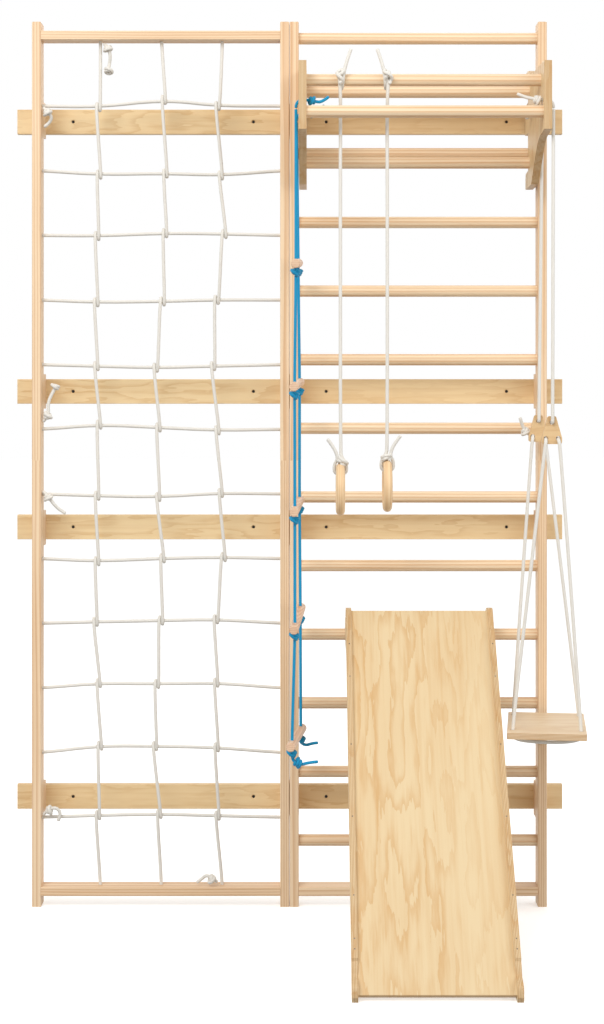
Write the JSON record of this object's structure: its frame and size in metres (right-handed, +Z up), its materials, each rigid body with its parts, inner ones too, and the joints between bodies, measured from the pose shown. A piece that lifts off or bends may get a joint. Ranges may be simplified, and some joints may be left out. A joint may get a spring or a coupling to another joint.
{
  "type": "wall-mounted climbing set with slide",
  "caption": "Wall-mounted wooden climbing set for children: rope net, ladder, hook-on pull-up unit with rings, swing and rope ladder, and a hook-on slide.",
  "frame": {"origin": "on the floor, under the middle of the bounding box of everything but the ropes", "axes": "+Z up, +Y towards the wall, +X from the net frame towards the ladder frame"},
  "size_m": [1.3823, 0.794, 2.152],
  "materials": {
    "pine_frame": "clear satin",
    "round_bar": "clear satin",
    "wall_board": "clear satin",
    "plywood": "clear satin",
    "ring_wood": "clear satin",
    "rope_white": "braided",
    "rope_blue": "braided",
    "steel_screw": "zinc plated"
  },
  "bodies": {
    "root": {"frame_screws": "steel_screw", "ladder_bottom_rail": "pine_frame", "ladder_post_left_lower": "pine_frame", "ladder_post_left_upper": "pine_frame", "ladder_post_right_lower": "pine_frame", "ladder_post_right_upper": "pine_frame", "net_bottom_rail": "pine_frame", "net_cross_ropes": "rope_white", "net_post_left_lower": "pine_frame", "net_post_left_upper": "pine_frame", "net_post_right_lower": "pine_frame", "net_post_right_upper": "pine_frame", "net_tie_offs": "rope_white", "net_top_rail": "pine_frame", "net_upright_ropes": "rope_white", "post_dowels": "round_bar", "rung_01": "round_bar", "rung_02": "round_bar", "rung_03": "round_bar", "rung_04": "round_bar", "rung_05": "round_bar", "rung_06": "round_bar", "rung_07": "round_bar", "rung_08": "round_bar", "rung_09": "round_bar", "rung_10": "round_bar", "rung_11": "round_bar", "rung_12": "round_bar", "rung_13": "round_bar", "spacer_blocks": "pine_frame", "wall_board_ladder_1": "wall_board", "wall_board_ladder_2": "wall_board", "wall_board_ladder_3": "wall_board", "wall_board_ladder_4": "wall_board", "wall_board_net_1": "wall_board", "wall_board_net_2": "wall_board", "wall_board_net_3": "wall_board", "wall_board_net_4": "wall_board"},
    "pull_up_unit": {"unit_bar_back_lower": "round_bar", "unit_bar_back_upper": "round_bar", "unit_bar_front_lower": "round_bar", "unit_bar_front_upper": "round_bar", "unit_plate_left": "plywood", "unit_plate_right": "plywood", "unit_rope_ends_blue": "rope_blue", "unit_rope_ends_white": "rope_white"},
    "left_ring": {"ring_left": "ring_wood", "ring_rope_left": "rope_white"},
    "right_ring": {"ring_right": "ring_wood", "ring_rope_right": "rope_white"},
    "swing": {"swing_adjusters": "plywood", "swing_ropes": "rope_white", "swing_seat": "plywood"},
    "rope_ladder": {"rope_ladder_ropes": "rope_blue", "rope_ladder_steps": "round_bar"},
    "slide": {"slide_battens": "plywood", "slide_board": "plywood", "slide_rail_left": "plywood", "slide_rail_right": "plywood", "slide_screws": "steel_screw"}
  },
  "joints": [
    {"name": "unit_lift", "type": "slide", "parent": "root", "child": "pull_up_unit", "axis": [0, 0, 1], "range_m": [0, 0.028]},
    {"name": "left_ring_swing", "type": "hinge", "parent": "pull_up_unit", "child": "left_ring", "pos_m": [0.10455, 0.069, 1.97], "axis": [1, 0, 0], "range_deg": [-15, 9]},
    {"name": "right_ring_swing", "type": "hinge", "parent": "pull_up_unit", "child": "right_ring", "pos_m": [0.21255, 0.069, 1.97], "axis": [1, 0, 0], "range_deg": [-15, 9]},
    {"name": "swing_swing", "type": "hinge", "parent": "pull_up_unit", "child": "swing", "pos_m": [0.59055, 0.13, 1.897], "axis": [0, -1, 0], "range_deg": [0, 40]},
    {"name": "rope_ladder_swing", "type": "hinge", "parent": "pull_up_unit", "child": "rope_ladder", "pos_m": [0.00255, 0.13, 1.897], "axis": [0, 1, 0], "range_deg": [0, 40]},
    {"name": "slide_tilt", "type": "hinge", "parent": "root", "child": "slide", "pos_m": [0.29655, 0.319, 0.6597], "axis": [-1, 0, 0], "range_deg": [0, 40]}
  ]
}
